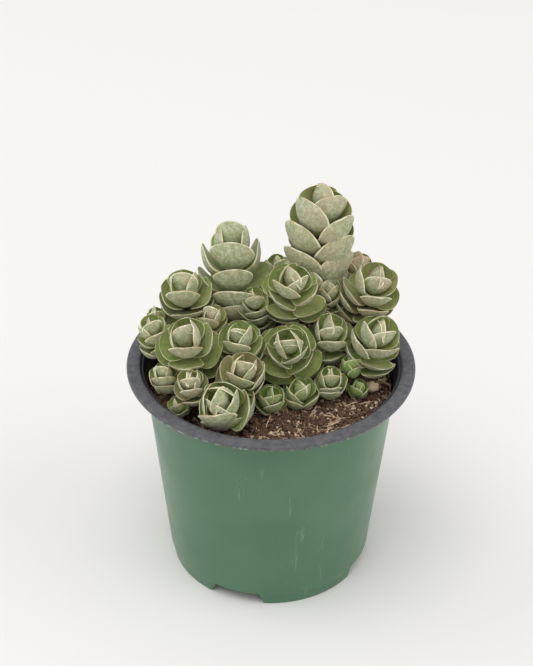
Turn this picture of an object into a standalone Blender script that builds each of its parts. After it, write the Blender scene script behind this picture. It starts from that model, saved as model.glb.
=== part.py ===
"""A potted jade plant of the stacked-leaf kind: a thin plastic nursery pot with a rolled rim and four feet,
filled with soil, and a clump of short upright shoots. Each shoot is a stem that ends in a head of opposite
leaf pairs, every pair turned a quarter from the one below it.

Metres, +Z up. The origin is the middle of the circle that the pot's feet stand on."""

import math

import bmesh
import bpy
from mathutils import Matrix, Vector

MM = 0.001

# Pot: one thin moulding, round about the Z axis.
POT_HEIGHT = 97.0 * MM
RIM_RADIUS = 60.0 * MM
RIM_WIDTH = 5.3 * MM
LIP_DROP = 2.1 * MM
LIP_THICKNESS = 1.2 * MM
FLANGE_THICKNESS = 1.1 * MM
WALL = 0.8 * MM
WALL_TOP_INSET = 7.2 * MM
WALL_FOOT_RADIUS = 43.8 * MM
FOOT_HEIGHT = 6.5 * MM
FOOT_STEP = 0.5 * MM
FOOT_TAPER = 0.9 * MM
NOTCH_COUNT = 4
NOTCH_ROOF = 0.9 * MM
NOTCH_SPREAD = math.radians(34)
NOTCH_SLOPE = math.radians(3.5)
NOTCH_PHASE = math.radians(-109)
DRAIN_RADIUS = 4.0 * MM
DRAIN_CIRCLE = 29.0 * MM
DRAIN_SIDES = 12
ROUND_STEPS = 48
RIM_BLEND = 0.3 * MM
FLOOR_LIFT = 0.6 * MM
SHOULDER = 1.7 * MM
WALL_STEP = 0.5 * MM

# Soil: fills the pot to below the rim.
CLEARANCE = 0.3 * MM
SOIL_DROP = 11.5 * MM
SOIL_CROWN = 1.5 * MM

# Clump: drawn on a mouth of this radius, and scaled to the pot's own mouth.
DRAWN_MOUTH_RADIUS = 52.0 * MM
STEM_RADIUS = 1.7 * MM
STEM_SIDES = 6
STEM_STEPS = 4
STEM_REACH = 0.4
ROOT_LEAN = 0.6
LEAF_THICKNESS = 0.26
LEAF_WIDTH = 0.54
HIGHEST_RISE = math.radians(60)
LEAF_CURL = math.radians(20)
BUD_SHARE = 0.65

# A leaf's margin from its foot to its tip: distance along, half width across, and lift, the last two in
# half leaf widths. Then the place of its highest and lowest point along the leaf.
LEAF_MARGIN = ((0.06, 0.40, 0.0), (0.50, 1.0, 0.14), (0.86, 0.72, 0.14), (1.0, 0.0, 0.04))
LEAF_FACE = (0.52, 0.48)
LEAF_HOLLOW = -0.04

# A head: the rings of its core as (height, radius) shares; how the core widens with the leaves' rise;
# where the lowest and highest pairs stand, as shares of length and spread; and how much shorter the
# highest pair is.
CORE_RINGS = ((0.0, 0.5), (0.3, 0.85), (0.7, 1.0), (0.92, 0.66))
CORE_SIDES = 6
CORE_RADIUS = 0.22
CORE_WIDENING = 0.4
LOWEST_PAIR = 0.10
HIGHEST_PAIR = 0.85
PAIR_SHRINK = 0.22

# Heights of the pot's profile.
RIM_UNDERSIDE = POT_HEIGHT - FLANGE_THICKNESS
WALL_TOP = RIM_UNDERSIDE - SHOULDER
FLOOR_UNDERSIDE = FOOT_HEIGHT - FLOOR_LIFT
FLOOR_TOP = FLOOR_UNDERSIDE + WALL
NOTCH_HEIGHT = FLOOR_UNDERSIDE - NOTCH_ROOF
SOIL_EDGE = POT_HEIGHT - SOIL_DROP
MOUTH_RADIUS = RIM_RADIUS - WALL_TOP_INSET - WALL
GROWTH = MOUTH_RADIUS / DRAWN_MOUTH_RADIUS

# One row for each shoot: name; middle of its rosette in mm, x and y from the pot's axis and z above the
# soil's edge; spread of its widest leaves and length of the leafy head in mm; lean from upright and the
# compass direction of the lean in degrees, 0 at +X; turn of its lowest leaf pair and how far that pair
# rises, in degrees; number of leaf pairs.
SHOOTS = (
    ("right_tower", (20.5, 27.6, 66.0), 14.0, 42.0, 4, -60, 45, 28, 6),
    ("left_tower", (-16.6, 25.8, 49.0), 14.2, 38.0, 3, -100, 0, 28, 6),
    ("top_rosette", (8.5, 6.0, 44.0), 12.8, 24.0, 24, -90, 40, 14, 5),
    ("middle_rosette", (7.1, -12.0, 25.5), 13.1, 20.0, 38, -92, 45, 12, 4),
    ("upper_left_rosette", (-35.5, 9.5, 38.5), 12.4, 21.0, 12, -110, 0, 18, 4),
    ("left_rosette", (-34.0, -14.5, 29.5), 13.4, 21.0, 24, -110, 12, 14, 4),
    ("left_edge_shoot", (-48.5, -3.0, 27.5), 7.8, 15.0, 14, 180, 20, 20, 3),
    ("left_back_shoot", (-48.0, 12.5, 23.5), 6.2, 12.0, 10, 165, 5, 20, 3),
    ("inner_left_shoot", (-24.6, 0.6, 30.5), 7.2, 17.0, 8, -60, 10, 20, 4),
    ("front_middle_rosette", (-12.8, -10.0, 27.5), 10.0, 19.0, 20, -100, -20, 16, 4),
    ("upper_middle_shoot", (-7.0, 9.0, 34.0), 7.6, 17.0, 16, -120, 10, 20, 4),
    ("back_middle_shoot", (2.6, 32.5, 36.0), 7.6, 18.0, 4, 90, 30, 20, 4),
    ("back_tower_shoot", (36.0, 31.0, 38.5), 7.4, 18.0, 8, 60, 30, 24, 3),
    ("upper_right_rosette", (42.0, 12.0, 41.0), 11.8, 23.0, 20, -35, 5, 18, 4),
    ("right_rosette", (43.0, -5.5, 26.5), 12.0, 20.0, 24, -48, 20, 16, 4),
    ("middle_right_rosette", (24.2, 0.5, 25.0), 10.0, 18.0, 18, -90, 0, 18, 4),
    ("inner_right_shoot", (24.0, 14.5, 35.5), 7.0, 16.0, 14, -70, 35, 20, 3),
    ("front_left_rosette", (-19.5, -40.0, 17.0), 12.6, 18.0, 36, -108, -30, 14, 4),
    ("front_rosette", (-11.2, -25.0, 22.0), 10.0, 17.0, 26, -80, 40, 18, 4),
    ("left_front_shoot", (-43.0, -19.0, 15.5), 7.4, 12.0, 18, -130, 30, 20, 3),
    ("front_left_shoot", (-32.0, -27.5, 18.3), 7.2, 14.0, 16, -120, 0, 24, 3),
    ("rim_left_shoot", (-37.5, -28.5, 7.3), 4.8, 7.5, 16, -140, 15, 20, 3),
    ("low_front_shoot", (0.2, -24.0, 8.5), 6.4, 8.0, 14, -95, 15, 22, 3),
    ("low_middle_shoot", (12.0, -18.5, 8.0), 7.1, 9.0, 14, -85, 45, 22, 3),
    ("low_right_shoot", (24.2, -15.5, 12.0), 6.4, 12.0, 10, -85, 0, 26, 3),
    ("young_upper_shoot", (33.0, -9.5, 15.5), 5.0, 12.0, 6, -90, 25, 26, 3),
    ("young_lower_shoot", (36.0, -12.5, 5.7), 4.3, 6.5, 8, -70, 60, 26, 3),
    ("back_left_shoot", (-31.0, 34.5, 19.5), 9.0, 17.0, 14, 130, 20, 20, 3),
    ("back_right_shoot", (10.0, 42.5, 19.5), 9.0, 17.0, 14, 85, 50, 20, 3),
)

GREEN_PLASTIC = ("green_plastic", (0.098, 0.223, 0.127, 1.0), 0.42)
SOIL = ("soil", (0.052, 0.030, 0.019, 1.0), 0.95)
STEM = ("stem", (0.120, 0.105, 0.060, 1.0), 0.75)
LEAF = ("leaf", (0.235, 0.300, 0.165, 1.0), 0.62)


def clear_scene():
    for item in list(bpy.data.objects):
        bpy.data.objects.remove(item, do_unlink=True)


def material(finish):
    name, colour, roughness = finish
    made = bpy.data.materials.get(name) or bpy.data.materials.new(name)
    made.use_nodes = True
    shader = made.node_tree.nodes["Principled BSDF"]
    shader.inputs["Base Color"].default_value = colour
    shader.inputs["Roughness"].default_value = roughness
    shader.inputs["Metallic"].default_value = 0.0
    return made


def new_object(name, mesh, finish):
    made = bpy.data.objects.new(name, mesh)
    bpy.context.scene.collection.objects.link(made)
    mesh.materials.clear()
    mesh.materials.append(material(finish))
    return made


def mesh_from(name, points, faces):
    mesh = bpy.data.meshes.new(name)
    mesh.from_pydata([tuple(point) for point in points], [], faces)
    mesh.update()
    return mesh


def combined(name, target_mesh, other_mesh, operation):
    """The mesh that a Boolean leaves of target and other. The other mesh may be several crossing lumps."""
    target = bpy.data.objects.new(name, target_mesh)
    other = bpy.data.objects.new(name + "_tool", other_mesh)
    other.display_type = "WIRE"
    other.hide_render = True
    for item in (target, other):
        bpy.context.scene.collection.objects.link(item)
    boolean = target.modifiers.new("combine", "BOOLEAN")
    boolean.operation = operation
    boolean.object = other
    boolean.use_self = operation == "UNION"
    evaluated = target.evaluated_get(bpy.context.evaluated_depsgraph_get())
    result = bpy.data.meshes.new_from_object(evaluated)
    for item in (target, other):
        bpy.data.objects.remove(item, do_unlink=True)
    return result


def turned(name, profile, steps=ROUND_STEPS):
    """A closed body: the profile of (radius, height) points, from pole to pole, carried round the Z axis."""
    form = bmesh.new()
    path = [form.verts.new((radius, 0.0, height)) for radius, height in profile]
    edges = [form.edges.new(pair) for pair in zip(path, path[1:])]
    whole_turn = dict(axis=(0, 0, 1), cent=(0, 0, 0), angle=2 * math.pi, steps=steps)
    bmesh.ops.spin(form, geom=path + edges, use_merge=True, **whole_turn)
    bmesh.ops.remove_doubles(form, verts=form.verts, dist=0.01 * MM)
    bmesh.ops.recalc_face_normals(form, faces=form.faces)
    mesh = bpy.data.meshes.new(name)
    form.to_mesh(mesh)
    form.free()
    return mesh


def wall_radius(height):
    """The wall's outer radius at a height: a straight taper."""
    share = (height - FOOT_HEIGHT) / (WALL_TOP - FOOT_HEIGHT)
    return WALL_FOOT_RADIUS + share * (RIM_RADIUS - WALL_TOP_INSET - WALL_FOOT_RADIUS)


def pot_profile():
    foot_radius = WALL_FOOT_RADIUS - FOOT_STEP
    lip_round = 0.3 * LIP_THICKNESS
    lip_foot = POT_HEIGHT - LIP_DROP
    wall_top = wall_radius(WALL_TOP)
    rim_inner = RIM_RADIUS - RIM_WIDTH
    return [
        (0.0, FLOOR_TOP),
        (wall_radius(FLOOR_TOP) - WALL, FLOOR_TOP),
        (wall_top - WALL, WALL_TOP),
        (wall_top - 0.4 * WALL, RIM_UNDERSIDE),
        (rim_inner - 2 * RIM_BLEND, POT_HEIGHT - RIM_BLEND),
        (rim_inner, POT_HEIGHT),
        (RIM_RADIUS - 3 * lip_round, POT_HEIGHT),
        (RIM_RADIUS - lip_round, POT_HEIGHT - lip_round),
        (RIM_RADIUS, POT_HEIGHT - 3 * lip_round),
        (RIM_RADIUS, lip_foot + lip_round),
        (RIM_RADIUS - lip_round, lip_foot),
        (RIM_RADIUS - LIP_THICKNESS, lip_foot),
        (RIM_RADIUS - LIP_THICKNESS, RIM_UNDERSIDE),
        (rim_inner - RIM_BLEND, RIM_UNDERSIDE),
        (wall_top + RIM_BLEND, RIM_UNDERSIDE - WALL_STEP),
        (wall_top, WALL_TOP),
        (WALL_FOOT_RADIUS, FOOT_HEIGHT),
        (foot_radius, FOOT_HEIGHT - FOOT_STEP),
        (foot_radius - FOOT_TAPER, 0.0),
        (foot_radius - FOOT_TAPER - WALL, 0.0),
        (foot_radius - WALL, FLOOR_UNDERSIDE),
        (0.0, FLOOR_UNDERSIDE),
    ]


def notch_cutter():
    """Wedges through the skirt below the floor, wider at the bottom, one between each two feet."""
    inner, outer = WALL_FOOT_RADIUS - 8 * MM, WALL_FOOT_RADIUS + 4 * MM
    steps = 4
    points, faces = [], []
    for notch in range(NOTCH_COUNT):
        centre = NOTCH_PHASE + 2 * math.pi * notch / NOTCH_COUNT
        first = len(points)
        for step in range(steps + 1):
            below = (NOTCH_SPREAD / 2, -1 * MM)
            roof = (NOTCH_SPREAD / 2 - NOTCH_SLOPE, NOTCH_HEIGHT)
            for half, height in (below, roof):
                angle = centre + half * (2 * step / steps - 1)
                for radius in (inner, outer):
                    points.append((radius * math.cos(angle), radius * math.sin(angle), height))
        for step in range(steps):
            a, b = first + 4 * step, first + 4 * (step + 1)
            faces += [
                (a + 0, b + 0, b + 1, a + 1),
                (a + 2, a + 3, b + 3, b + 2),
                (a + 1, b + 1, b + 3, a + 3),
                (a + 0, a + 2, b + 2, b + 0),
            ]
        last = first + 4 * steps
        faces += [(first, first + 1, first + 3, first + 2), (last, last + 2, last + 3, last + 1)]
    return mesh_from("notches", points, faces)


def drain_cutter():
    """Round holes through the floor: one on the axis and one on the side of each foot."""
    form = bmesh.new()
    centres = [(0.0, 0.0)]
    for hole in range(NOTCH_COUNT):
        angle = NOTCH_PHASE + 2 * math.pi * (hole + 0.5) / NOTCH_COUNT
        centres.append((DRAIN_CIRCLE * math.cos(angle), DRAIN_CIRCLE * math.sin(angle)))
    for x, y in centres:
        place = Matrix.Translation((x, y, FLOOR_UNDERSIDE + WALL / 2))
        bmesh.ops.create_cone(
            form,
            cap_ends=True,
            segments=DRAIN_SIDES,
            radius1=DRAIN_RADIUS,
            radius2=DRAIN_RADIUS,
            depth=4 * WALL,
            matrix=place,
        )
    mesh = bpy.data.meshes.new("drains")
    form.to_mesh(mesh)
    form.free()
    return mesh


def build_pot():
    blank = turned("pot_blank", pot_profile())
    notched = combined("pot_notched", blank, notch_cutter(), "DIFFERENCE")
    drained = combined("pot_drained", notched, drain_cutter(), "DIFFERENCE")
    drained.name = "pot"
    pot = new_object("pot", drained, GREEN_PLASTIC)
    drained.shade_smooth()
    drained.set_sharp_from_angle(angle=math.radians(35))
    return pot


def soil_height(radius):
    """The soil's top: level at the wall, with a low crown over the middle."""
    share = min(1.0, radius / MOUTH_RADIUS)
    return SOIL_EDGE + SOIL_CROWN * (1 - share * share)


def build_soil():
    foot = FLOOR_TOP + CLEARANCE
    gap = WALL + 1.5 * CLEARANCE
    edge_radius = wall_radius(SOIL_EDGE) - gap
    profile = [(0.0, soil_height(0.0))]
    profile += [(edge_radius * share, soil_height(edge_radius * share)) for share in (0.35, 0.7, 1.0)]
    profile += [(wall_radius(foot) - gap, foot), (0.0, foot)]
    mesh = turned("soil", profile)
    soil = new_object("soil", mesh, SOIL)
    mesh.shade_smooth()
    mesh.set_sharp_from_angle(angle=math.radians(40))
    return soil


def head_frame(lean, toward):
    """The head's axes as a matrix: upright axes tipped by lean towards the compass direction."""
    hinge = Vector((-math.sin(toward), math.cos(toward), 0.0))
    return Matrix.Rotation(lean, 3, hinge)


def leaf_mesh_data(frame, foot, azimuth, rise, reach, first):
    """One leaf as a closed lens: a sharp margin of seven points, with one point in the middle of each side.

    The leaf leaves the axis at an angle above the head's cross-section and curls up towards its tip."""
    out = frame @ Vector((math.cos(azimuth), math.sin(azimuth), 0.0))
    side = frame @ Vector((-math.sin(azimuth), math.cos(azimuth), 0.0))
    up = frame @ Vector((0.0, 0.0, 1.0))
    half = LEAF_WIDTH * reach

    def at(along, across, lift):
        angle = rise + LEAF_CURL * along
        spine = foot + (out * math.cos(angle) + up * math.sin(angle)) * (reach * along)
        normal = up * math.cos(angle) - out * math.sin(angle)
        return spine + side * (half * across) + normal * (half * lift)

    points = [at(u, v, w) for u, v, w in LEAF_MARGIN]
    points += [at(u, -v, w) for u, v, w in reversed(LEAF_MARGIN[:-1])]
    count = len(points)
    highest, lowest = LEAF_FACE
    points += [at(highest, 0.0, LEAF_HOLLOW), at(lowest, 0.0, LEAF_HOLLOW - LEAF_THICKNESS / LEAF_WIDTH)]
    faces = []
    for index in range(count):
        nxt = (index + 1) % count
        faces.append((first + index, first + nxt, first + count))
        faces.append((first + nxt, first + index, first + count + 1))
    return points, faces


def core_mesh(name, frame, foot, length, radius):
    """The head's middle: a slender egg, flat at its foot, that ends in the closed bud."""
    sides = CORE_SIDES
    points, faces = [], []
    for share, wide in CORE_RINGS:
        for step in range(sides):
            angle = 2 * math.pi * step / sides
            flat = Vector((math.cos(angle), math.sin(angle), 0.0)) * (radius * wide)
            points.append(foot + frame @ (flat + Vector((0.0, 0.0, length * share))))
    points.append(foot + frame @ Vector((0.0, 0.0, length)))
    for ring in range(len(CORE_RINGS) - 1):
        for step in range(sides):
            a, b = ring * sides + step, ring * sides + (step + 1) % sides
            faces.append((a, b, b + sides, a + sides))
    top = (len(CORE_RINGS) - 1) * sides
    faces += [(top + step, top + (step + 1) % sides, top + sides) for step in range(sides)]
    faces.append(tuple(reversed(range(sides))))
    return mesh_from(name, points, faces)


def build_head(name, foot, frame, spread, length, turn, lowest_rise, pairs):
    """Leaf pairs up the core, each a quarter turn from the last, steeper and shorter towards the bud."""
    core_radius = spread * (CORE_RADIUS + CORE_WIDENING * math.sin(lowest_rise))
    core = core_mesh(name + "_core", frame, foot, length, core_radius)
    reach = spread / math.cos(lowest_rise + LEAF_CURL)
    lowest = LOWEST_PAIR * length
    highest = length - HIGHEST_PAIR * spread
    points, faces = [], []
    for pair in range(pairs):
        share = pair / (pairs - 1)
        rise = lowest_rise + share * (HIGHEST_RISE - lowest_rise)
        pair_reach = reach * (1.0 - PAIR_SHRINK * share)
        pair_foot = foot + frame @ Vector((0.0, 0.0, lowest + share * (highest - lowest)))
        for side in (0, 1):
            azimuth = turn + math.pi * (side + 0.5 * pair)
            leaf = leaf_mesh_data(frame, pair_foot, azimuth, rise, pair_reach, len(points))
            more_points, more_faces = leaf
            points += more_points
            faces += more_faces
    mesh = combined(name, core, mesh_from(name + "_lumps", points, faces), "UNION")
    mesh.name = name
    new_object(name, mesh, LEAF)
    mesh.shade_smooth()
    mesh.set_sharp_from_angle(angle=math.radians(30))


def build_stem(name, root, tip, axis, radius):
    """A round stem along a smooth curve: upright out of the soil, and along the head's axis at its tip."""
    reach = STEM_REACH * (tip - root).length
    controls = (root, root + Vector((0.0, 0.0, reach)), tip - axis * reach, tip)
    points, faces = [], []
    for step in range(STEM_STEPS + 1):
        t = step / STEM_STEPS
        shares = ((1 - t) ** 3, 3 * t * (1 - t) ** 2, 3 * t * t * (1 - t), t ** 3)
        centre = sum((control * share for control, share in zip(controls, shares)), Vector())
        normal = Vector((0.0, 0.0, 1.0)).slerp(axis, t) if axis.z < 0.9999 else axis
        turn = Vector((0.0, 0.0, 1.0)).rotation_difference(normal)
        for corner in range(STEM_SIDES):
            angle = 2 * math.pi * corner / STEM_SIDES
            offset = Vector((math.cos(angle), math.sin(angle), 0.0)) * radius
            points.append(centre + turn @ offset)
    for step in range(STEM_STEPS):
        for corner in range(STEM_SIDES):
            a = step * STEM_SIDES + corner
            b = step * STEM_SIDES + (corner + 1) % STEM_SIDES
            faces.append((a, b, b + STEM_SIDES, a + STEM_SIDES))
    last = STEM_STEPS * STEM_SIDES
    faces.append(tuple(reversed(range(STEM_SIDES))))
    faces.append(tuple(range(last, last + STEM_SIDES)))
    mesh = mesh_from(name, points, faces)
    new_object(name, mesh, STEM)
    mesh.shade_smooth()
    mesh.set_sharp_from_angle(angle=math.radians(50))


def build_shoot(row):
    name, middle, spread, length, lean, toward, turn, rise, pairs = row
    frame = head_frame(math.radians(lean), math.radians(toward))
    axis = frame @ Vector((0.0, 0.0, 1.0))
    centre = Vector(middle) * (MM * GROWTH) + Vector((0.0, 0.0, SOIL_EDGE))
    spread, length = spread * MM * GROWTH, length * MM * GROWTH
    foot = centre + axis * (BUD_SHARE * spread - length)
    build_head(name + "_leaves", foot, frame, spread, length, math.radians(turn), math.radians(rise), pairs)
    tip = foot - axis * CLEARANCE
    drop = tip.z - soil_height(0.0)
    root = tip - axis * (ROOT_LEAN * drop)
    root.z = soil_height(math.hypot(root.x, root.y)) + 2 * CLEARANCE
    thickness = STEM_RADIUS * GROWTH * min(1.0, 0.45 + 0.05 * spread / MM)  # slender under small heads
    build_stem(name + "_stem", root, tip, axis, thickness)


def main():
    clear_scene()
    build_pot()
    build_soil()
    for row in SHOOTS:
        build_shoot(row)


main()
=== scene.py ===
"""A potted jade plant of the stacked-leaf kind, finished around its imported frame: the thin two-colour nursery pot,
its soil with grit, bark and fibres, and a clump of shoots with felted, pale-edged leaves. Metres, +Z up."""

import math

import bpy
import numpy as np
from mathutils import Matrix, Vector


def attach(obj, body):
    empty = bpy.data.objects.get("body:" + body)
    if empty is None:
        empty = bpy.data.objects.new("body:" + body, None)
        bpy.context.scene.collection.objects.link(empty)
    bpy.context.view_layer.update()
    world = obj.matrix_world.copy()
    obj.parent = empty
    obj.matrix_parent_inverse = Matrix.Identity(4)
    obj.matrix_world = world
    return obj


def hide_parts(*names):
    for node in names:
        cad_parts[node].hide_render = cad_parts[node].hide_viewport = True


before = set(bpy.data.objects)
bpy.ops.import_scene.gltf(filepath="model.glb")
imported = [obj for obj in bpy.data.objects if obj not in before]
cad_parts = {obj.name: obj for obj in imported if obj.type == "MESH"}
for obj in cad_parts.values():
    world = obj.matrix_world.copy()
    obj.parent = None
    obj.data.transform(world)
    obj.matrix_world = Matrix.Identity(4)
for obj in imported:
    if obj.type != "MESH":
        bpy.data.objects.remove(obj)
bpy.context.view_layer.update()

bl_info = {
    "name": "Potted Jade Plant",
    "version": (1, 0, 0),
    "blender": (4, 5, 0),
    "location": "View3D > Sidebar > Plant",
    "description": "Builds a stacked-leaf jade plant in a nursery pot around a fixed frame",
    "category": "Add Mesh",
}

MM = 0.001
BODY = "root"


# ---------------------------------------------------------------------------------------------------------------
# What the frame gives
# ---------------------------------------------------------------------------------------------------------------


def node_points(name):
    """The corner points of a frame node, each one once."""
    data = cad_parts[name].data
    points = np.empty(len(data.vertices) * 3, np.float32)
    data.vertices.foreach_get("co", points)
    return np.unique(np.round(points.reshape(-1, 3).astype(float), 6), axis=0)


def ring_radii(points, height, reach=0.2 * MM):
    """The smallest and largest distance from the Z axis among the points at one height."""
    near = points[np.abs(points[:, 2] - height) < reach]
    radii = np.hypot(near[:, 0], near[:, 1])
    return radii.min(), radii.max()


POT_POINTS = node_points("pot")
POT_HEIGHT = float(POT_POINTS[:, 2].max())
RIM_RADIUS = float(np.hypot(POT_POINTS[:, 0], POT_POINTS[:, 1]).max())
SOIL_POINTS = node_points("soil")
SOIL_TOP = float(SOIL_POINTS[:, 2].max())
SOIL_FOOT = float(SOIL_POINTS[:, 2].min())
SOIL_LEVELS = np.unique(np.round(SOIL_POINTS[:, 2], 5))
SOIL_EDGE = float(SOIL_LEVELS[SOIL_LEVELS > SOIL_TOP - 3 * MM].min())
SOIL_RADIUS = float(ring_radii(SOIL_POINTS, SOIL_EDGE)[1])
SOIL_FOOT_RADIUS = float(ring_radii(SOIL_POINTS, SOIL_FOOT)[1])

# How each shoot grows: lean from upright and the direction of the lean, turn of the bud's leaves, how far the
# oldest leaves rise above level and how far a leaf curls up along its length, all in degrees; how many pairs it
# takes to open and how many it has; distance between pairs and leaf length as shares of the head's spread; leaf
# thickness as a share of its length; how deep the leaves cup; and the leaf's flush: 0 grey-green, below 0 fresh
# green, above 0 pink.
SHOOTS = {
    "right_tower": (4, -60, 34, 46, 74, 3, 13, 0.262, 1.08, 0.26, 0.22, 0.16),
    "left_tower": (3, -100, 90, 39, 55, 4, 13, 0.215, 0.95, 0.26, 0.10, 0.08),
    "top_rosette": (24, -90, 40, 24, 46, 5, 9, 0.170, 1.02, 0.21, 0.28, 0.10),
    "middle_rosette": (38, -92, 98, 18, 44, 6, 10, 0.165, 1.05, 0.20, 0.26, 0.00),
    "upper_left_rosette": (12, -110, 84, 36, 42, 4, 9, 0.220, 1.10, 0.22, 0.24, 0.04),
    "left_rosette": (24, -110, 96, 26, 46, 5, 8, 0.175, 1.06, 0.21, 0.28, 0.08),
    "left_edge_shoot": (14, 180, 20, 34, 46, 4, 7, 0.260, 1.14, 0.22, 0.30, 0.05),
    "left_back_shoot": (10, 165, 5, 36, 46, 4, 7, 0.280, 1.16, 0.22, 0.30, 0.05),
    "inner_left_shoot": (8, -60, 70, 42, 48, 4, 9, 0.250, 1.22, 0.22, 0.30, 0.10),
    "front_middle_rosette": (20, -100, 70, 36, 50, 4, 8, 0.210, 1.18, 0.22, 0.30, -0.05),
    "upper_middle_shoot": (16, -120, 10, 36, 46, 4, 9, 0.250, 1.20, 0.22, 0.30, 0.00),
    "back_middle_shoot": (4, 90, 30, 34, 34, 4, 9, 0.260, 1.20, 0.22, 0.30, 0.00),
    "back_tower_shoot": (8, 60, 30, 50, 40, 3, 9, 0.340, 1.28, 0.24, 0.32, 0.60),
    "upper_right_rosette": (20, -35, 5, 36, 48, 4, 9, 0.210, 1.12, 0.22, 0.28, 0.20),
    "right_rosette": (24, -48, 20, 34, 48, 5, 8, 0.185, 1.12, 0.22, 0.28, 0.00),
    "middle_right_rosette": (18, -90, 0, 38, 50, 4, 8, 0.210, 1.20, 0.22, 0.30, -0.08),
    "inner_right_shoot": (14, -70, 35, 38, 48, 4, 9, 0.250, 1.22, 0.22, 0.30, -0.06),
    "front_left_rosette": (36, -108, -30, 42, 56, 5, 7, 0.185, 1.18, 0.22, 0.32, 0.04),
    "front_rosette": (26, -80, 70, 40, 52, 4, 7, 0.210, 1.18, 0.22, 0.32, 0.50),
    "left_front_shoot": (18, -130, 80, 42, 50, 4, 6, 0.250, 1.20, 0.22, 0.30, -0.06),
    "front_left_shoot": (16, -120, 0, 46, 50, 4, 6, 0.250, 1.24, 0.22, 0.30, 0.30),
    "rim_left_shoot": (16, -140, 15, 32, 34, 3, 5, 0.260, 1.30, 0.22, 0.30, -0.06),
    "low_front_shoot": (14, -95, 15, 42, 50, 4, 5, 0.230, 1.44, 0.20, 0.38, -0.48),
    "low_middle_shoot": (14, -85, 45, 40, 50, 4, 5, 0.230, 1.42, 0.20, 0.38, -0.42),
    "low_right_shoot": (10, -85, 0, 44, 46, 4, 6, 0.240, 1.34, 0.20, 0.36, -0.28),
    "young_upper_shoot": (6, -90, 25, 56, 44, 3, 4, 0.300, 1.50, 0.22, 0.38, -0.85),
    "young_lower_shoot": (8, -70, 60, 54, 44, 3, 4, 0.260, 1.46, 0.22, 0.38, -1.00),
    "back_left_shoot": (14, 130, 20, 30, 34, 4, 8, 0.250, 1.12, 0.22, 0.30, 0.00),
    "back_right_shoot": (14, 85, 50, 30, 34, 4, 8, 0.250, 1.12, 0.22, 0.30, 0.00),
}


# What sets single shoots apart: bend is how many degrees the head leans away from the front, its top kept in place;
# twist how many degrees each pair stands off a quarter turn from the last; apex how pointed the leaves are;
# crown the share of a full gap between the bud and the pair below it; bud the length of the bud's own leaves, as a
# share of the full length; and broad how much wider than usual the leaves are.
HABITS = {
    "left_tower": {"bend": 13.0, "apex": 0.58, "crown": 1.0, "bud": 0.70, "broad": 1.03},
    "right_tower": {"bend": 6.0, "apex": 0.45, "crown": 1.05, "bud": 0.64, "broad": 1.10},
    "middle_rosette": {"twist": 9.0},
    "top_rosette": {"twist": 3.0},
    "left_rosette": {"twist": -3.0},
    "upper_left_rosette": {"apex": 0.58},
    "front_left_rosette": {"twist": 5.0},
}


END_REACH = 0.02 * MM
STEM_BEND = 0.4


class Shoot:
    """One shoot's place, read from its stem and head in the frame, and its habit from the table."""

    def __init__(self, name):
        lean, toward, turn, rise, curl, opening, pairs, spacing, length, thick, cup, flush = SHOOTS[name]
        lean, toward = math.radians(lean), math.radians(toward)
        self.name = name
        self.turn, self.rise, self.opening = math.radians(turn), math.radians(rise), opening
        self.curl, self.cup, self.pairs, self.thick = math.radians(curl), cup, pairs, thick
        self.spacing, self.leaf_length, self.flush = spacing, length, flush
        self.seed = list(SHOOTS).index(name)
        hinge = np.array([-math.sin(toward), math.cos(toward), 0.0])
        self.axes = turned_about(hinge, lean)
        self.axis = self.axes[:, 2]
        stem = node_points(name + "_stem")
        along = stem @ self.axis
        end = stem[along > along.max() - END_REACH]
        self.tip = end.mean(axis=0)
        self.root = stem[stem[:, 2] < stem[:, 2].min() + END_REACH].mean(axis=0)
        self.thickness = float(np.linalg.norm(end - self.tip, axis=1).max())
        head = node_points(name + "_leaves") - self.tip
        self.length = float((head @ self.axis).max())
        top = self.tip + self.axis * self.length
        usual = {"bend": 0.0, "twist": 1.5, "apex": 0.52, "crown": 0.45, "bud": 0.80, "broad": 1.0}
        habit = {**usual, **HABITS.get(name, {})}
        self.twist, self.apex = math.radians(habit["twist"]), habit["apex"]
        self.crown, self.bud, self.broad = habit["crown"], habit["bud"], habit["broad"]
        self.axes = turned_about(np.array([1.0, 0.0, 0.0]), -math.radians(habit["bend"])) @ self.axes
        self.axis = self.axes[:, 2]
        self.tip = top - self.axis * self.length
        flat = head - np.outer(head @ self.axis, self.axis)
        self.spread = float(np.linalg.norm(flat, axis=1).max())

    def spine(self, back):
        """Points and upward directions on the shoot's middle line, back metres below the bud's top.

        Above the stem's tip the line is straight; below it, it follows a cubic curve down to the root."""
        back = np.asarray(back, float)
        reach = STEM_BEND * np.linalg.norm(self.tip - self.root)
        controls = np.array([self.tip, self.tip - self.axis * reach, self.root + [0, 0, reach], self.root])
        below = np.clip((back - self.length) / max(np.linalg.norm(self.tip - self.root), MM), 0, 1)
        t = below[:, None]
        weights = np.concatenate([(1 - t) ** 3, 3 * t * (1 - t) ** 2, 3 * t * t * (1 - t), t**3], axis=1)
        points = weights @ controls + self.axis * np.clip(self.length - back, 0, None)[:, None]
        upward = self.axis * (1 - t) + np.array([0.0, 0.0, 1.0]) * t
        return points, upward / np.linalg.norm(upward, axis=1, keepdims=True)


def turned_about(hinge, angle):
    """The matrix of a turn about a unit vector, by Rodrigues' formula."""
    x, y, z = hinge
    cross = np.array([[0, -z, y], [z, 0, -x], [-y, x, 0]])
    return np.eye(3) + math.sin(angle) * cross + (1 - math.cos(angle)) * cross @ cross


# ---------------------------------------------------------------------------------------------------------------
# Meshes from arrays
# ---------------------------------------------------------------------------------------------------------------


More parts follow.
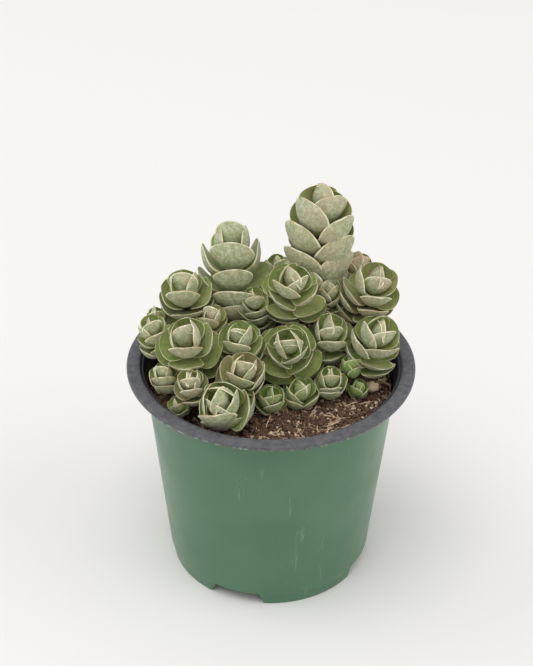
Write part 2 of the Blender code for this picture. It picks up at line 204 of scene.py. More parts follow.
def add_piece(name, points, quads, triangles, materials, fields=None, faces_material=None, smooth=True):
    """A mesh object from arrays: points, faces of four and of three corners, and a number per point and field."""
    mesh = bpy.data.meshes.new(name)
    quads = np.asarray(quads, np.int32).reshape(-1, 4)
    triangles = np.asarray(triangles, np.int32).reshape(-1, 3)
    mesh.vertices.add(len(points))
    mesh.vertices.foreach_set("co", np.asarray(points, np.float32).ravel())
    corners = np.concatenate([quads.ravel(), triangles.ravel()])
    sizes = np.concatenate([np.full(len(quads), 4), np.full(len(triangles), 3)])
    mesh.loops.add(len(corners))
    mesh.loops.foreach_set("vertex_index", corners)
    mesh.polygons.add(len(sizes))
    mesh.polygons.foreach_set("loop_start", np.concatenate([[0], np.cumsum(sizes)[:-1]]).astype(np.int32))
    mesh.update(calc_edges=True)
    mesh.polygons.foreach_set("use_smooth", np.full(len(sizes), smooth))
    if faces_material is not None:
        mesh.polygons.foreach_set("material_index", np.asarray(faces_material, np.int32))
    for field, values in (fields or {}).items():
        mesh.attributes.new(field, "FLOAT", "POINT").data.foreach_set("value", np.asarray(values, np.float32).ravel())
    for item in materials:
        mesh.materials.append(item)
    mesh.validate()
    made = bpy.data.objects.new(name, mesh)
    bpy.context.scene.collection.objects.link(made)
    return made


def stand_in(piece, slot, *nodes):
    """The piece rides on the one body and stands for these frame nodes; slot is not used."""
    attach(piece, BODY)
    if nodes:
        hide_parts(*nodes)


def ring_quads(rows, columns, start=0):
    """Faces of a grid of closed rings of points, facing out when the rings run round the way of travel."""
    row, column = np.meshgrid(np.arange(rows - 1), np.arange(columns), indexing="ij")
    a = row * columns + column
    b = row * columns + (column + 1) % columns
    return np.stack([a, b, b + columns, a + columns], axis=-1).reshape(-1, 4) + start


def capped_tubes(rings, first, last):
    """Many closed tubes at once. rings is (tube, row, column, 3); first and last are each tube's two end points."""
    tubes, rows, columns, _ = rings.shape
    size = rows * columns + 2
    points = np.concatenate([rings.reshape(tubes, -1, 3), first[:, None], last[:, None]], axis=1)
    offset = (np.arange(tubes) * size)[:, None, None]
    quads = ring_quads(rows, columns)[None] + offset
    step = np.arange(columns)
    after = (step + 1) % columns
    top = (rows - 1) * columns
    foot_caps = np.stack([after, step, np.full(columns, rows * columns)], axis=-1)
    top_caps = np.stack([top + step, top + after, np.full(columns, rows * columns + 1)], axis=-1)
    triangles = np.concatenate([foot_caps, top_caps])[None] + offset
    return points.reshape(-1, 3), quads.reshape(-1, 4), triangles.reshape(-1, 3)


def ring_fields(values, first, last):
    """A field on capped tubes, given on the rings and at the two end points."""
    tubes = values.shape[0]
    return np.concatenate(
        [values.reshape(tubes, -1), np.full((tubes, 1), first), np.full((tubes, 1), last)], axis=1
    ).ravel()


def value_noise(x, y, seed):
    """Smooth random heights from -1 to 1: hashed numbers at whole coordinates, eased between them."""
    left, low = np.floor(x).astype(np.int64), np.floor(y).astype(np.int64)
    fx, fy = x - left, y - low
    fx, fy = fx * fx * (3 - 2 * fx), fy * fy * (3 - 2 * fy)

    def corner(dx, dy):
        mixed = (left + dx) * 73856093 ^ (low + dy) * 19349663 ^ seed * 83492791
        mixed = (mixed ^ (mixed >> 13)) * 1274126177 & 0x7FFFFFFF
        return (mixed ^ (mixed >> 16)) % 65536 / 32767.5 - 1

    bottom = corner(0, 0) * (1 - fx) + corner(1, 0) * fx
    top = corner(0, 1) * (1 - fx) + corner(1, 1) * fx
    return bottom * (1 - fy) + top * fy


# ---------------------------------------------------------------------------------------------------------------
# Materials
# ---------------------------------------------------------------------------------------------------------------


def srgb(red, green, blue):
    """A colour given as 0 to 255 on a screen, as the linear colour that shaders take."""
    values = np.array([red, green, blue]) / 255
    linear = np.where(values <= 0.04045, values / 12.92, ((values + 0.055) / 1.055) ** 2.4)
    return (*linear.tolist(), 1.0)


class Nodes:
    """Short calls for wiring one material's nodes."""

    def __init__(self, name):
        self.material = bpy.data.materials.new(name)
        self.material.use_nodes = True
        self.tree = self.material.node_tree
        self.shader = self.tree.nodes["Principled BSDF"]
        self.place = self.tree.nodes.new("ShaderNodeTexCoord").outputs["Object"]

    def link(self, source, target):
        self.tree.links.new(source, target)

    def fill(self, socket, value):
        if isinstance(value, bpy.types.NodeSocket):
            self.link(value, socket)
        else:
            socket.default_value = value

    def set(self, **values):
        for key, value in values.items():
            self.fill(self.shader.inputs[key.replace("_", " ")], value)

    def field(self, name):
        node = self.tree.nodes.new("ShaderNodeAttribute")
        node.attribute_name = name
        return node.outputs["Fac"]

    def noise(self, scale, detail=3.0, roughness=0.55, distortion=0.0, place=None):
        node = self.tree.nodes.new("ShaderNodeTexNoise")
        self.link(place or self.place, node.inputs["Vector"])
        node.inputs["Scale"].default_value = scale
        node.inputs["Detail"].default_value = detail
        node.inputs["Roughness"].default_value = roughness
        node.inputs["Distortion"].default_value = distortion
        return node.outputs["Fac"]

    def cells(self, scale):
        node = self.tree.nodes.new("ShaderNodeTexVoronoi")
        self.link(self.place, node.inputs["Vector"])
        node.inputs["Scale"].default_value = scale
        return node.outputs["Distance"]

    def math(self, operation, a, b=0.0, c=0.0, clamp=False):
        node = self.tree.nodes.new("ShaderNodeMath")
        node.operation = operation
        node.use_clamp = clamp
        for socket, value in zip(node.inputs, (a, b, c)):
            self.fill(socket, value)
        return node.outputs[0]

    def ease(self, value, low, high, to_low=0.0, to_high=1.0):
        """value carried smoothly from low..high to to_low..to_high."""
        node = self.tree.nodes.new("ShaderNodeMapRange")
        node.interpolation_type = "SMOOTHSTEP"
        for socket, number in zip(node.inputs, (value, low, high, to_low, to_high)):
            self.fill(socket, number)
        return node.outputs[0]

    def mix(self, share, a, b, blend="MIX"):
        node = self.tree.nodes.new("ShaderNodeMix")
        node.data_type = "RGBA"
        node.blend_type = blend
        self.fill(node.inputs[0], share)
        self.fill(node.inputs[6], a)
        self.fill(node.inputs[7], b)
        return node.outputs[2]

    def scaled_place(self, scale):
        node = self.tree.nodes.new("ShaderNodeMapping")
        self.link(self.place, node.inputs["Vector"])
        node.inputs["Scale"].default_value = scale
        return node.outputs[0]

    def bump(self, height, distance, strength=1.0, under=None):
        node = self.tree.nodes.new("ShaderNodeBump")
        self.fill(node.inputs["Strength"], strength)
        node.inputs["Distance"].default_value = distance
        self.link(height, node.inputs["Height"])
        if under is not None:
            self.link(under, node.inputs["Normal"])
        return node.outputs[0]


def leaf_material(colours):
    """Felted leaf: grey-green and grained outside, greener inside with pale dots, a cream line along the margin."""
    n = Nodes("leaf_skin")
    outer, edge, along = n.field("outer"), n.field("edge_mm"), n.field("along")
    tint, flush, dry = n.field("tint"), n.field("flush"), n.field("dry")
    fine = n.noise(1900, 2.0, 0.6)
    mottle = n.noise(420, 3.0, 0.6)
    broad = n.noise(110, 2.0, 0.5)
    felt = n.mix(n.ease(fine, 0.36, 0.66), colours.leaf_outside_dark, colours.leaf_outside)
    felt = n.mix(n.ease(mottle, 0.35, 0.70, 0.0, 0.60), felt, colours.leaf_outside_pale)
    patchy = n.noise(700, 4.0, 0.7, 0.4)
    felt = n.mix(n.ease(patchy, 0.46, 0.60, 0.0, 0.80), felt, colours.leaf_outside_dark)
    base_shade = n.ease(along, 0.0, 0.55, 0.55, 0.0)
    felt = n.mix(base_shade, felt, colours.leaf_outside_dark)
    dots = n.ease(n.cells(1150), 0.12, 0.36, 1.0, 0.0)
    flesh = n.mix(n.ease(mottle, 0.3, 0.7), colours.leaf_inside_dark, colours.leaf_inside)
    dotted = n.math("MULTIPLY", dots, n.ease(broad, 0.3, 0.7, 0.35, 0.85))
    flesh = n.mix(dotted, flesh, colours.leaf_outside_pale)
    flesh = n.mix(n.ease(patchy, 0.45, 0.62, 0.05, 0.45), flesh, colours.leaf_outside_dark)
    flesh = n.mix(n.ease(edge, 0.4, 2.6, 0.45, 0.0), flesh, colours.leaf_young)
    warm = n.math("MULTIPLY", n.ease(n.noise(260, 3.0, 0.6, 0.4), 0.48, 0.66), n.ease(edge, 0.3, 4.5, 0.55, 0.05))
    felt = n.mix(warm, felt, colours.leaf_warm)
    skin = n.mix(n.ease(outer, 0.35, 0.65), flesh, felt)
    skin = n.mix(n.ease(tint, 0.0, 1.0, 0.0, 0.30), skin, n.mix(1.0, skin, (0.80, 0.86, 0.70, 1), "MULTIPLY"))
    fresh = n.math("MULTIPLY", flush, -1.0, clamp=True)
    skin = n.mix(n.math("MULTIPLY", fresh, 0.85), skin, colours.leaf_young)
    pink = n.math("MULTIPLY", n.math("MAXIMUM", flush, 0.0), n.ease(broad, 0.35, 0.62))
    skin = n.mix(n.math("MULTIPLY", pink, 0.85), skin, colours.leaf_flush)
    blotch = n.math("MULTIPLY", n.ease(n.noise(230, 3.0, 0.6, 0.6), 0.60, 0.68), dry)
    skin = n.mix(blotch, skin, colours.leaf_dry)
    wobble = n.math("MULTIPLY_ADD", n.noise(700, 1.0), 0.22, -0.11)
    line = n.ease(n.math("ADD", edge, wobble), 0.22, 0.62, 1.0, 0.0)
    line = n.math("MULTIPLY", line, n.ease(flush, -1.0, -0.2, 0.45, 0.92))
    rust = n.math("MULTIPLY", n.ease(n.noise(150, 2.0, 0.5), 0.46, 0.64), 0.85)
    rim = n.mix(rust, colours.leaf_margin, colours.leaf_margin_rust)
    n.set(Base_Color=n.mix(line, skin, rim))
    n.set(Roughness=n.ease(outer, 0.3, 0.7, 0.50, 0.72))
    n.shader.inputs["Specular IOR Level"].default_value = 0.35
    n.shader.inputs["Sheen Weight"].default_value = 0.18
    n.shader.inputs["Sheen Roughness"].default_value = 0.45
    n.shader.inputs["Subsurface Weight"].default_value = 0.08
    n.shader.inputs["Subsurface Radius"].default_value = (0.6, 1.0, 0.3)
    n.shader.inputs["Subsurface Scale"].default_value = 0.0012
    grain = n.bump(fine, 0.00018, 0.55)
    n.set(Normal=n.bump(mottle, 0.0005, 0.35, grain))
    return n.material


def stem_material(colours):
    n = Nodes("stem_bark")
    bark = n.mix(n.ease(n.noise(500, 4.0), 0.35, 0.65), colours.stem, colours.stem_dark)
    n.set(Base_Color=bark, Roughness=0.8)
    n.set(Normal=n.bump(n.noise(1500, 3.0), 0.0003, 0.6))
    return n.material


def soil_material(colours):
    """Moist peat: near-black and dark brown crumbs, with painted shade darkening the low gaps between them, and tan
    fibre specks.
    """
    n = Nodes("peat")
    crumbs = n.noise(520, 6.0, 0.65)
    # painted shade: the crumbs' relief pushes the colour towards the dark brown in the low gaps between crumbs
    crumbs = n.math("MULTIPLY_ADD", n.field("relief"), 0.16, crumbs)
    earth = n.mix(n.ease(crumbs, 0.36, 0.62), colours.soil_dark_and_gap_shade, colours.soil)
    earth = n.mix(n.ease(n.noise(1100, 4.0, 0.6), 0.56, 0.66, 0.0, 0.85), earth, colours.soil_fibre)
    earth = n.mix(n.ease(n.noise(160, 3.0), 0.50, 0.66, 0.0, 0.55), earth, colours.soil_pale)
    n.set(Base_Color=earth, Roughness=0.95)
    n.shader.inputs["Specular IOR Level"].default_value = 0.15
    n.set(Normal=n.bump(n.noise(1500, 6.0, 0.7), 0.0009, 0.9))
    return n.material


def plain_grain_material(name, colour, second, roughness):
    """A small mineral or woody piece: two colours in fine grains."""
    n = Nodes(name)
    n.set(Base_Color=n.mix(n.ease(n.noise(1400, 3.0), 0.35, 0.65), second, colour))
    n.set(Roughness=roughness, Normal=n.bump(n.noise(2500, 3.0), 0.0003, 0.6))
    return n.material


def green_plastic_material(colours):
    """Thin satin plastic: soft cloudy gloss, rubbed streaks and specks, and the scratches laid on the wall."""
    n = Nodes("green_plastic")
    body = n.mix(n.ease(n.noise(38, 2.0), 0.3, 0.7), colours.pot_green, colours.pot_green_deep)
    streaks = n.noise(1.0, 4.0, 0.6, 0.3, n.scaled_place((260, 260, 34)))
    patch = n.ease(n.noise(30, 2.0), 0.50, 0.66)
    rubbed = n.math("MULTIPLY", n.ease(streaks, 0.60, 0.72), patch)
    specks = n.math("MULTIPLY", n.ease(n.cells(420), 0.06, 0.10, 1.0, 0.0), n.ease(n.noise(70, 2.0), 0.60, 0.66))
    marks = n.math("MULTIPLY", n.math("MAXIMUM", n.math("MULTIPLY", rubbed, 0.5), specks), 0.55)
    marks = n.math("MAXIMUM", marks, n.field("scratch"))
    n.set(Base_Color=n.mix(marks, body, colours.pot_scuff))
    n.set(Roughness=n.ease(n.noise(60, 3.0), 0.3, 0.7, 0.28, 0.38))
    n.shader.inputs["Specular IOR Level"].default_value = 0.55
    n.set(Normal=n.bump(n.noise(900, 2.0), 0.00006, 0.5, n.bump(n.noise(45, 2.0), 0.0006, 0.25)))
    return n.material


def black_plastic_material(colours):
    """The pot's inner layer and rim: charcoal, dusty on top, rubbed pale in flecks along the rim's lower edge, and
    far darker on the inner wall as painted shade.
    """
    n = Nodes("charcoal_plastic")
    wear = n.field("wear")
    dust = n.ease(n.noise(420, 5.0, 0.7), 0.32, 0.70, 0.0, 0.48)
    body = n.mix(dust, colours.rim_dark, colours.rim_dust)
    # painted shade: the inner wall takes a far darker charcoal than the rim, for the shade inside the pot
    inside = n.field("inside")
    body = n.mix(inside, body, colours.pot_inside_and_shade)
    flecks = n.ease(n.math("ADD", n.noise(520, 4.0, 0.65), n.math("MULTIPLY", n.noise(60, 2.0), 0.35)), 0.70, 0.80)
    worn = n.math("MULTIPLY", flecks, wear)
    dots = n.math("MULTIPLY", n.ease(n.cells(700), 0.05, 0.11, 1.0, 0.0), n.ease(n.noise(120, 2.0), 0.56, 0.62))
    worn = n.math("MAXIMUM", worn, n.math("MULTIPLY", dots, 0.65))
    body = n.mix(worn, body, colours.rim_worn)
    n.set(Base_Color=body, Roughness=n.ease(inside, 0.0, 1.0, 0.55, 0.35))
    n.set(Normal=n.bump(n.noise(1100, 3.0), 0.00012, 0.5))
    return n.material


# ---------------------------------------------------------------------------------------------------------------
# Pot
# ---------------------------------------------------------------------------------------------------------------


# Sizes of the moulding that no setting changes: how far below the top the wall joins the rim, the thickness of the
# rim's flat part and of its lip, and how far the floor's underside lies below the foot's step.
WALL_JOIN = 2.8 * MM
FLANGE_THICKNESS = 1.1 * MM
LIP_THICKNESS = 1.2 * MM
FLOOR_DROP = 0.6 * MM
FEET = 4
NOTCH_HALF = math.radians(17)
NOTCH_EASE = math.radians(4.2)
POT_COLUMNS = 512
DRAIN_SIDES = 32

# The outline's longest stretch, how far a notch's roof lies below the foot's step, the share of the foot's radius
# from which a notch cuts, and the distances that tell the green wall, the inner layer with its painted shade and
# the lip's worn edge apart.
LONGEST_STRETCH = 3.0 * MM
NOTCH_ROOF_DROP = 0.7 * MM
NOTCH_FROM = 0.9
OUTER_EDGE = 1.25 * MM
GREEN_REACH = 0.4 * MM
GREEN_DROP = 1.2 * MM
INSIDE_DROP = 0.4 * MM
WEAR_RISE, WEAR_HALF, WEAR_WIDTH = 0.15 * MM, 0.75 * MM, 1.3 * MM
SHARP_ANGLE = math.radians(50)


def rounded(corners, radii, steps=5):
    """The corners of an outline, each rounded by an arc: a quadratic curve between its two tangent points."""
    corners = [np.array(corner, float) for corner in corners]
    made = [corners[0]]
    for before, corner, after, radius in zip(corners, corners[1:], corners[2:], radii[1:]):
        inward, outward = before - corner, after - corner
        cut = min(radius, 0.45 * np.linalg.norm(inward), 0.45 * np.linalg.norm(outward))
        start = corner + inward / np.linalg.norm(inward) * cut
        end = corner + outward / np.linalg.norm(outward) * cut
        for t in np.linspace(0, 1, steps):
            made.append(start * (1 - t) ** 2 + corner * 2 * t * (1 - t) + end * t**2)
    made.append(corners[-1])
    return np.array(made)


def subdivided(outline, longest):
    """The outline with points added so that no stretch is longer than the given length."""
    made = [outline[:1]]
    for start, end in zip(outline, outline[1:]):
        count = max(1, int(math.ceil(np.linalg.norm(end - start) / longest)))
        shares = np.arange(1, count + 1)[:, None] / count
        made.append(start + (end - start) * shares)
    return np.concatenate(made)


def pot_outline(pot):
    """Radius and height along the moulding, from the floor's middle inside, over the rim, to its middle below."""
    foot_inner, foot_outer = ring_radii(POT_POINTS, 0.0)
    step_height = pot.foot_height
    wall_top = POT_HEIGHT - WALL_JOIN
    wall_inner_top, wall_outer_top = ring_radii(POT_POINTS, wall_top)
    wall_foot = ring_radii(POT_POINTS, step_height)[1]
    wall = wall_outer_top - wall_inner_top
    floor_under = step_height - FLOOR_DROP
    rim_inner = RIM_RADIUS - pot.rim_width
    lip = POT_HEIGHT - pot.lip_drop
    under = POT_HEIGHT - FLANGE_THICKNESS
    corners = [
        (0.0, floor_under + wall),
        (wall_foot - wall, floor_under + wall),
        (wall_inner_top, wall_top),
        (rim_inner, POT_HEIGHT),
        (RIM_RADIUS, POT_HEIGHT),
        (RIM_RADIUS, lip),
        (RIM_RADIUS - LIP_THICKNESS, lip),
        (RIM_RADIUS - LIP_THICKNESS, under),
        (wall_outer_top + 0.5 * MM, under),
        (wall_outer_top, wall_top),
        (wall_foot, step_height),
        (foot_outer + 0.85 * MM, step_height - 0.55 * MM),
        (foot_outer, 0.0),
        (foot_inner, 0.0),
        (foot_inner + 0.8 * MM, floor_under),
        (0.0, floor_under),
    ]
    radii = np.array([0, 1.5, 3.0, 1.2, 0.9, 0.8, 0.4, 0.4, 0.5, 0.8, 0.25, 0.4, 0.3, 0.3, 0.5, 0]) * MM
    return rounded(corners, radii)


def notch_lift(angle, pot):
    """How far the foot's lower edge is lifted at each angle: level on the feet, and eased up into the notches."""
    pitch = 2 * math.pi / FEET
    centre = math.radians(pot.notch_angle)
    off = np.abs((angle - centre + pitch / 2) % pitch - pitch / 2)
    t = np.clip((NOTCH_HALF - off) / NOTCH_EASE, 0, 1)
    return pot.notch_height * t * t * (3 - 2 * t)


def build_pot(settings):
    """A surface of revolution: the outline carried round Z, with its foot's lower edge lifted in four notches."""
    pot = settings.pot
    outline = subdivided(pot_outline(pot), LONGEST_STRETCH)
    radius, height = outline[1:-1, 0], outline[1:-1, 1]
    columns = POT_COLUMNS
    angle = np.arange(columns) * 2 * math.pi / columns
    lift = notch_lift(angle, pot)
    roof = pot.foot_height - NOTCH_ROOF_DROP
    outside_foot = (height < roof) & (radius > NOTCH_FROM * ring_radii(POT_POINTS, 0.0)[0])
    z = np.repeat(height[:, None], columns, axis=1)
    lifted = lift[None, :] + z * (roof - lift[None, :]) / roof
    z = np.where(outside_foot[:, None], lifted, z)
    r = np.repeat(radius[:, None], columns, axis=1)
    rings = np.stack([r * np.cos(angle), r * np.sin(angle), z], axis=-1)[None]
    first = np.array([[0.0, 0.0, outline[0, 1]]])
    last = np.array([[0.0, 0.0, outline[-1, 1]]])
    points, quads, triangles = capped_tubes(rings[:, ::-1], last, first)
    row_top = int(np.argmax(radius >= RIM_RADIUS - OUTER_EDGE))
    lip = POT_HEIGHT - pot.lip_drop
    wall_outer_top = ring_radii(POT_POINTS, POT_HEIGHT - WALL_JOIN)[1]
    rows = np.arange(len(radius))
    over_rim = rows >= row_top
    green_row = over_rim & (radius <= wall_outer_top + GREEN_REACH) & (height < POT_HEIGHT - GREEN_DROP)
    # the inner wall's rows, which the charcoal material paints darker as shade
    inside_row = (~over_rim) & (height < POT_HEIGHT - INSIDE_DROP) & (radius < RIM_RADIUS - pot.rim_width)
    wear_row = np.clip(1 - np.abs(height - lip - WEAR_RISE) / WEAR_HALF, 0, 1)
    wear_row = wear_row * (radius > RIM_RADIUS - WEAR_WIDTH)
    fields = {}
    for name, row in (("inside", inside_row.astype(float)), ("wear", wear_row)):
        fields[name] = ring_fields(np.repeat(row[:, None], columns, axis=1)[None, ::-1], 0.0, row[0])
    fields["scratch"] = ring_fields(pot_scratches(angle, height, over_rim)[None, ::-1], 0.0, 0.0)
    green_faces = np.repeat((green_row[:-1] & green_row[1:])[::-1], columns)
    caps = np.concatenate([np.ones(columns), np.zeros(columns)])
    which = np.concatenate([green_faces, caps])
    materials = [black_plastic_material(settings.colours), green_plastic_material(settings.colours)]
    piece = add_piece("nursery_pot", points, quads, triangles, materials, fields, which)
    drain_holes(piece, pot)
    piece.data.set_sharp_from_angle(angle=SHARP_ANGLE)
    stand_in(piece, "pot_plastic", "pot")


def pot_scratches(angle, height, outside):
    """Pale rubs on the wall: a long curved scratch and a few short flecks, each a soft band along an arc."""
    theta = np.degrees(angle)[None, :]
    z = height[:, None] / MM
    total = np.zeros((len(height), len(angle)))
    # Direction of its middle in degrees, height of its middle in mm, width in degrees, fall in mm, half thickness
    # in mm, strength.
    marks = (
        (-128.0, 62.0, 13.0, 24.0, 0.35, 0.50),
        (-118.0, 40.0, 2.5, 5.0, 0.35, 0.45),
        (-101.0, 34.0, 6.0, 9.0, 1.6, 0.22),
        (-84.0, 30.0, 5.0, 12.0, 1.8, 0.16),
    )
    for middle, level, wide, tall, thick, strength in marks:
        share = (theta - middle) / wide
        path = level + tall * (0.5 - share) - 4 * (share - 0.5) ** 2
        band = np.exp(-(((z - path) / thick) ** 2)) * (np.abs(share) < 0.5)
        total = np.maximum(total, strength * band)
    return total * outside[:, None]


def drain_holes(piece, pot):
    """Cuts the round drain holes through the floor: one in the middle and one inside each foot."""
    sides, middle, half_depth = DRAIN_SIDES, pot.foot_height, 2 * MM
    angles = np.arange(sides) * 2 * math.pi / sides
    centres = [(0.0, 0.0)]
    for hole in range(FEET):
        turn = math.radians(pot.notch_angle) + (hole + 0.5) * 2 * math.pi / FEET
        centres.append((pot.drain_circle * math.cos(turn), pot.drain_circle * math.sin(turn)))
    centres = np.array(centres)
    rings = np.empty((len(centres), 2, sides, 3))
    rings[..., 0] = centres[:, None, None, 0] + pot.drain_radius * np.cos(angles)
    rings[..., 1] = centres[:, None, None, 1] + pot.drain_radius * np.sin(angles)
    rings[..., 2] = np.array([middle - half_depth, middle + half_depth])[None, :, None]
    ends = np.concatenate([centres, np.zeros((len(centres), 1))], axis=1)
    low, high = ends + [0, 0, middle - half_depth], ends + [0, 0, middle + half_depth]
    points, quads, triangles = capped_tubes(rings, low, high)
    cutter = add_piece("drain_cutter", points, quads, triangles, [piece.data.materials[0]])
    cut = piece.modifiers.new("drains", "BOOLEAN")
    cut.operation = "DIFFERENCE"
    cut.object = cutter
    whole = piece.evaluated_get(bpy.context.evaluated_depsgraph_get())
    mesh = bpy.data.meshes.new_from_object(whole)
    piece.modifiers.clear()
    piece.data = mesh
    bpy.data.objects.remove(cutter, do_unlink=True)


# ---------------------------------------------------------------------------------------------------------------
# Soil and what lies on it
# ---------------------------------------------------------------------------------------------------------------


# Widths of the swells and crumbs of the surface, the faces of its disc, and the random seeds of what is strewn.
SWELL = 9 * MM
COARSE_CRUMB = 3.4 * MM
MIDDLE_CRUMB = 1.5 * MM
FINE_CRUMB = 0.65 * MM
SOIL_ROWS = 120
SOIL_COLUMNS = 360
DRESSING_SEED = 12
KNOT_SEED = 5
KNOT_X, KNOT_Y = 41.4 * MM, -7.4 * MM
KNOT_RISE = 2.3 * MM
KNOT_RADIUS_MM = 2.9


def soil_surface(x, y):
    """Height of the soil in metres: a low crown, broad swells of smooth noise, and the relief of the crumbs."""
    radius = np.hypot(x, y)
    share = np.clip(radius / SOIL_RADIUS, 0, 1)
    crown = SOIL_EDGE + (SOIL_TOP - SOIL_EDGE) * (1 - share**2)
    return crown + (0.8 * value_noise(x / SWELL, y / SWELL, 3) + soil_relief(x, y)) * MM


def soil_relief(x, y):
    """Crumbs in millimetres: lumps of two sizes, with sharp gaps where the noise folds at zero, and a fine grain."""
    coarse = np.abs(value_noise(x / COARSE_CRUMB, y / COARSE_CRUMB, 5)) ** 0.8
    middle = np.abs(value_noise(x / MIDDLE_CRUMB, y / MIDDLE_CRUMB, 7)) ** 0.8
    fine = value_noise(x / FINE_CRUMB, y / FINE_CRUMB, 9)
    return 1.5 * coarse + 0.7 * middle + 0.16 * fine - 1.1


def build_soil(settings):
    """A closed body: the lumpy top as a disc of rings, then its side and its floor down inside the pot."""
    rows, columns = SOIL_ROWS, SOIL_COLUMNS
    share = np.linspace(0, 1, rows + 1)[1:]
    radius = SOIL_RADIUS * share
    angle = np.arange(columns) * 2 * math.pi / columns
    x, y = np.outer(radius, np.cos(angle)), np.outer(radius, np.sin(angle))
    top = np.stack([x, y, soil_surface(x, y)], axis=-1)
    foot = np.stack(
        [SOIL_FOOT_RADIUS * np.cos(angle), SOIL_FOOT_RADIUS * np.sin(angle), np.full(columns, SOIL_FOOT)], axis=-1
    )
    rings = np.concatenate([foot[None], top[::-1]])[None]
    centre = soil_surface(np.zeros(1), np.zeros(1))[0]
    points, quads, triangles = capped_tubes(rings, np.array([[0, 0, SOIL_FOOT]]), np.array([[0, 0, centre]]))
    # relief: the crumbs' height, also used by the peat material to paint shade in the gaps
    fields = {"relief": soil_relief(points[:, 0], points[:, 1])}
    piece = add_piece("peat_soil", points, quads, triangles, [soil_material(settings.colours)], fields)
    stand_in(piece, "soil", "soil")


def lump_grid(count, rows, columns, generator, flatness, roughness):
    """Small rough stones: balls whose radius varies at random from point to point, flattened in Z."""
    polar = np.linspace(0, math.pi, rows + 2)[1:-1]
    around = np.arange(columns) * 2 * math.pi / columns
    size = 1 + roughness * generator.uniform(-1, 1, (count, rows, columns))
    x = np.sin(polar)[None, :, None] * np.cos(around) * size
    y = np.sin(polar)[None, :, None] * np.sin(around) * size
    z = -np.cos(polar)[None, :, None] * size * flatness
    return np.stack([x, y, z], axis=-1)


def scattered(count, generator, bare_share):
    """Points on the soil: some anywhere, and the stated share on the bare crescent towards the front right."""
    bare = generator.uniform(0, 1, count) < bare_share
    ahead, anywhere = np.radians(generator.uniform(-105, 15, count)), generator.uniform(-math.pi, math.pi, count)
    angle = np.where(bare, ahead, anywhere)
    reach = np.where(bare, generator.uniform(0.50, 0.965, count), np.sqrt(generator.uniform(0, 0.93, count)))
    x, y = SOIL_RADIUS * reach * np.cos(angle), SOIL_RADIUS * reach * np.sin(angle)
    return x, y


def scatter_lumps(name, count, sizes, generator, material, flatness, roughness, sink=0.3, longest=1.3):
    """Rough lumps of random size in mm and random turn, strewn over the soil and sunk a little into it."""
    x, y = scattered(count, generator, 0.7)
    size = generator.uniform(sizes[0], sizes[1], count) * MM
    stretch = generator.uniform(1.5 - 0.5 * longest, longest, (count, 1, 1))
    turn = generator.uniform(0, 2 * math.pi, count)[:, None, None]
    grid = lump_grid(count, 4, 7, generator, flatness, roughness) * size[:, None, None, None]
    long, wide, up = grid[..., 0] * stretch, grid[..., 1] / stretch, grid[..., 2]
    tilt = generator.uniform(-0.7, 0.7, count)[:, None, None]
    long, up = long * np.cos(tilt) - up * np.sin(tilt), long * np.sin(tilt) + up * np.cos(tilt)
    centre = np.stack([x, y, soil_surface(x, y) + size * flatness * (1 - 2 * sink)], axis=-1)[:, None, None]
    rings = np.stack([long * np.cos(turn) - wide * np.sin(turn), long * np.sin(turn) + wide * np.cos(turn), up], -1)
    rings = rings + centre
    first, last = rings[:, 0].mean(axis=1), rings[:, -1].mean(axis=1)
    points, quads, triangles = capped_tubes(rings, first, last)
    piece = add_piece(name, points, quads, triangles, [material], smooth=False)
    stand_in(piece, "soil")


def fibre_mesh(starts, headings, lengths, thick, bends, generator, steps=14, sides=5):
    """Thin tubes along wandering lines: the heading turns at a steady rate plus a slow wave, and the line keeps
    to the soil, arching a little above it."""
    count = len(starts)
    t = np.linspace(0, 1, steps)
    wave = generator.uniform(-0.9, 0.9, (count, 1))
    wave = wave * np.sin(2 * math.pi * t * generator.uniform(0.6, 1.6, (count, 1)))
    heading = headings[:, None] + bends[:, None] * t + wave
    step = (lengths / (steps - 1))[:, None]
    x = starts[:, :1] + np.cumsum(np.cos(heading) * step, axis=1)
    y = starts[:, 1:] + np.cumsum(np.sin(heading) * step, axis=1)
    radius = np.hypot(x, y)
    inside = np.minimum(1, (SOIL_RADIUS - 0.6 * MM) / np.maximum(radius, 1e-6))
    x, y = x * inside, y * inside
    arch = generator.uniform(0.0, 1.6, (count, 1)) * MM * np.sin(math.pi * t) ** 2
    z = soil_surface(x, y) + thick[:, None] * 0.8 + arch
    line = np.stack([x, y, z], axis=-1)
    ahead = np.gradient(line, axis=1)
    ahead /= np.linalg.norm(ahead, axis=-1, keepdims=True) + 1e-12
    side = np.cross(ahead, [0.0, 0.0, 1.0])
    side /= np.linalg.norm(side, axis=-1, keepdims=True) + 1e-12
    up = np.cross(side, ahead)
    around = np.arange(sides) * 2 * math.pi / sides
    taper = (0.35 + 0.65 * np.sin(math.pi * np.clip(t * 0.9 + 0.08, 0, 1)))[None, :, None, None]
    ring = side[:, :, None] * np.cos(around)[:, None] + up[:, :, None] * np.sin(around)[:, None]
    rings = line[:, :, None] + ring * thick[:, None, None, None] * taper
    return capped_tubes(rings[:, :, ::-1], line[:, 0], line[:, -1])


